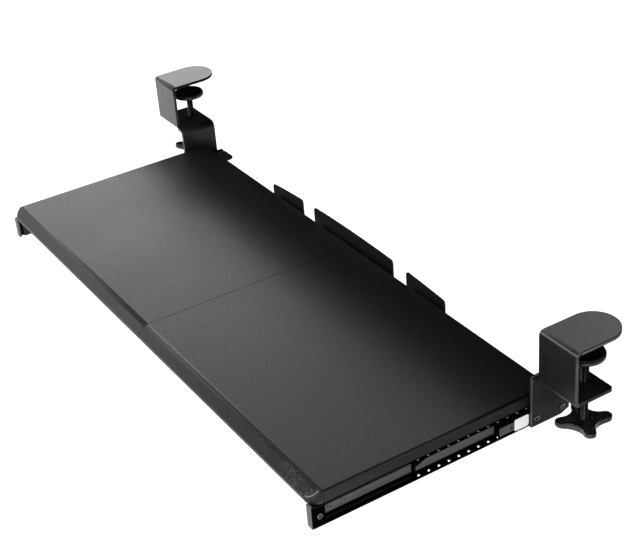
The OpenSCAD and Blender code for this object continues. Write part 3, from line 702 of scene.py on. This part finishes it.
def screw_middles(node, across):
    """Middle of every screw of a node, in the plane across its axis.

    Points within SAME_SCREW of each other in that plane are linked, and each group takes its lowest number.
    """
    solid = nodes[node]
    points = np.empty(len(solid.data.vertices) * 3)
    solid.data.vertices.foreach_get("co", points)
    points = np.unique(np.round(points.reshape(-1, 3) * across, 4), axis=0)
    near = np.linalg.norm(points[:, None] - points, axis=-1) < SAME_SCREW
    group = np.arange(len(points))
    while True:
        lowest = np.where(near, group, len(points)).min(axis=1)
        if (lowest == group).all():
            break
        group = lowest
    return [(points[group == g].min(0) + points[group == g].max(0)) / 2 for g in np.unique(group)]


def cut_screws(node, body, axis, head):
    """Finds the node's screws and sets a cut one in each place, its head towards axis, each turned its own way."""
    low, high = (np.array(corner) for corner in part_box(node))
    out = np.array(axis, float)
    seat_at = np.where(out > 0, high, low) - head["head_h"] * out
    length = float(np.abs(out) @ (high - low)) - head["head_h"]
    seats = [np.where(out != 0, seat_at, middle) for middle in screw_middles(node, out == 0)]
    grids = [screw_points(seat, axis, length, NEXT_TURN * i, **head) for i, seat in enumerate(seats)]
    stand_in(f"{node}_cut", grids, body, node, FINISHES[slot_of[node]])


BUTTON_BACK, BUTTON_SHANK = 1.0 * MM, 3.0 * MM


def cap_button(side, sign):
    """Cross-recessed button on the outer side of an end cap, just behind the middle of its block."""
    low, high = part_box(f"{side}_end_cap")
    seat = (sign * CAP_SIDE, (low.y + high.y) / 2 + BUTTON_BACK, (low.z + high.z) / 2)
    points = screw_points(seat, (sign, 0, 0), BUTTON_SHANK, math.pi / 4, **CAP_HEAD)
    ring_surface(f"{side}_cap_button", [points], "tray", FINISHES["dark_fastener"])


LIP_W, LIP_H, LIP_L = 3.0 * MM, 1.9 * MM, 3.9 * MM
LIP_IN, LIP_BACK, LIP_UP = 0.2 * MM, 0.05 * MM, 0.15 * MM
LIP_RUN = np.linspace(1.0, -1.0, 9)[:, None]
LIP_SWELL = np.sqrt(1 - 0.9 * LIP_RUN ** 8)
LIP_COLUMNS = 24


def cap_lip(side, sign):
    """Bead behind an end cap that fills the notch over the rail's rounded corner.

    It is an ellipse carried along Y, which narrows towards both ends by sqrt(1 - 0.9 * run^8).
    """
    low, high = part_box(f"{side}_tray_rail")
    angle = circle(LIP_COLUMNS)
    x = sign * (min(abs(low.x), abs(high.x)) + LIP_IN + LIP_W / 2 * LIP_SWELL * np.cos(angle))
    y = low.y + LIP_L / 2 * (1 + LIP_RUN) + LIP_BACK
    z = high.z + LIP_UP - LIP_H / 2 * (1 - LIP_SWELL * np.sin(angle))
    points = np.stack(np.broadcast_arrays(x, y, z), axis=-1)
    ring_surface(f"{side}_cap_lip", [points[::sign]], "tray", FINISHES["black_plastic"])


FOLD_Y = np.array([-242.5, -240.9, -238.5, -235.5, -232.8, -229.0, -100.0, 23.5]) * MM
FOLD_TOP = np.array([-86.0, -84.8, -83.0, -80.7, -79.1, -78.5, -78.5, -78.5]) * MM
FOLD_FOOT = -89.7 * MM
FOLD_HALF = 0.27 * MM
FOLD_COLUMNS = 24
FOLD_POWER = 2 / 5


def seam_fold():
    """Foil turned down into the seam: a rounded oblong |x|^5 + |z|^5 = 1, carried along Y, its top under the bevel."""
    angle = np.linspace(2 * np.pi, 0, FOLD_COLUMNS, endpoint=False)
    across = np.sign(np.cos(angle)) * np.abs(np.cos(angle)) ** FOLD_POWER
    upward = np.sign(np.sin(angle)) * np.abs(np.sin(angle)) ** FOLD_POWER
    top = FOLD_TOP[:, None]
    z = (top + FOLD_FOOT) / 2 + (top - FOLD_FOOT) / 2 * upward
    points = np.stack(np.broadcast_arrays(FOLD_HALF * across, FOLD_Y[:, None], z), axis=-1)
    ring_surface("seam_fold", [points], "tray", FINISHES["board"])


seam_fold()
knob_finish = knob_plastic()
for side, sign in SIDES.items():
    threaded_rod(side)
    star_knob(side, knob_finish)
    cap_button(side, sign)
    cap_lip(side, sign)
    cut_screws(f"{side}_rail_screws", "desk_clamps", (sign, 0, 0), RAIL_HEAD)
    cut_screws(f"{side}_bracket_screws", "tray", (0, 0, -1), WOOD_HEAD)
cut_screws("joint_screws", "tray", (0, 0, -1), WOOD_HEAD)


# Studio

FLOOR_Z = -0.75
FLOOR_HALF = 15.0
FLOOR_GLOW = 0.62
FILL_LEVEL = 0.40
TRAY_MIDDLE = (0.0, -0.1, -0.08)
SIGHT_RAYS = ("Is Camera Ray", "Is Glossy Ray", "Is Transmission Ray")

# Range of x, range of y, height
HIDDEN_CARDS = {
    "shade_card": ((-0.8, 0.8), (2 * MM, 0.8), -9 * MM),
    "side_flag": ((0.46, 0.68), (-0.08, 0.24), -0.27),
}

# Place, width, height, watts
SOFTBOXES = {
    "left_softbox": ((-2.4, 0.75, 0.80), 1.4, 0.7, 18),
    "front_softbox": ((-2.2, -1.05, 1.20), 1.2, 0.9, 12),
    "low_softbox": ((-1.75, -0.65, -0.45), 0.9, 0.5, 2.4),
    "back_softbox": ((-0.80, 1.60, 1.30), 0.8, 0.8, 5.5),
    "right_softbox": ((2.4, -1.6, 1.2), 2.6, 2.6, 70),
}


def sight_ray(f):
    """1 for rays from the camera, a mirror or glass; 0 for light that fills in."""
    seen, mirrored, through = (f.node("ShaderNodeLightPath", output=kind) for kind in SIGHT_RAYS)
    return seen.larger(mirrored).larger(through)


def pale_floor():
    """White floor that keeps shadows: a diffuse part, lifted to white for sight rays."""
    f = finish("pale_floor", Roughness=0.9, Specular_IOR_Level=0.0, Emission_Strength=1.0)
    f.set("Base Color", f.mix(f.noise(3.0), grey(0.86), grey(0.88)))
    f.set("Emission Color", f.mix(sight_ray(f), grey(0.0), (FLOOR_GLOW,) * 3))
    return f.owner


def black_card():
    """Matt black card for keeping light off."""
    f = finish("black_card", Roughness=1.0, Specular_IOR_Level=0.0)
    f.set("Base Color", f.mix(f.noise(40.0), grey(0.015), grey(0.02)))
    return f.owner


def flat_stage(name, x, y, z, material):
    """A level rectangle between two values of x and of y."""
    mesh = bpy.data.meshes.new(name)
    mesh.from_pydata([(x[0], y[0], z), (x[1], y[0], z), (x[1], y[1], z), (x[0], y[1], z)], [], [(0, 1, 2, 3)])
    piece = add_piece(name, mesh)
    dress(piece, material)
    return piece


def white_world():
    """White to sight rays, a soft grey fill to the rest."""
    world = bpy.data.worlds.new("studio")
    bpy.context.scene.world = world
    f = Finish(world, "Background", Strength=1.0)
    f.set("Color", f.mix(sight_ray(f), (FILL_LEVEL,) * 3, (1.0, 1.0, 1.0)))


def softbox(name, place, width, height, watts):
    """A rectangular lamp at place that faces the middle of the tray."""
    lamp = bpy.data.lights.new(name, "AREA")
    lamp.shape = "RECTANGLE"
    lamp.size = width
    lamp.size_y = height
    lamp.energy = watts
    piece = add_piece(name, lamp)
    piece.location = place
    piece.rotation_euler = (Vector(TRAY_MIDDLE) - Vector(place)).to_track_quat("-Z", "Y").to_euler()


flat_stage("floor", (-FLOOR_HALF, FLOOR_HALF), (-FLOOR_HALF, FLOOR_HALF), FLOOR_Z, pale_floor())
card_black = black_card()
for name, (x, y, z) in HIDDEN_CARDS.items():
    flat_stage(name, x, y, z, card_black).visible_camera = False
white_world()
for name, (place, width, height, watts) in SOFTBOXES.items():
    softbox(name, place, width, height, watts)


# Camera at the photograph's view

CAMERA_PLACE = (1.1866, -0.7059, 0.7216)
CAMERA_HEADING = 59.81
CAMERA_DROP = 30.80
CAMERA_ROLL = -4.75
FOCAL_PIXELS = 1428.2
PHOTO_WIDTH = 643
SENSOR = 36.0


def photo_camera():
    """Looks along a heading left of +Y and a drop below the horizon, then rolls about its own line of sight."""
    data = bpy.data.cameras.new("camera")
    data.sensor_fit = "HORIZONTAL"
    data.sensor_width = SENSOR
    data.lens = FOCAL_PIXELS / PHOTO_WIDTH * SENSOR
    camera = add_piece("camera", data)
    heading, drop = math.radians(CAMERA_HEADING), math.radians(CAMERA_DROP)
    turn = (Matrix.Rotation(heading, 4, "Z") @ Matrix.Rotation(math.pi / 2 - drop, 4, "X")
            @ Matrix.Rotation(math.radians(CAMERA_ROLL), 4, "Z"))
    camera.matrix_world = Matrix.Translation(CAMERA_PLACE) @ turn
    bpy.context.scene.camera = camera


photo_camera()
bpy.context.scene.view_settings.view_transform = "Standard"
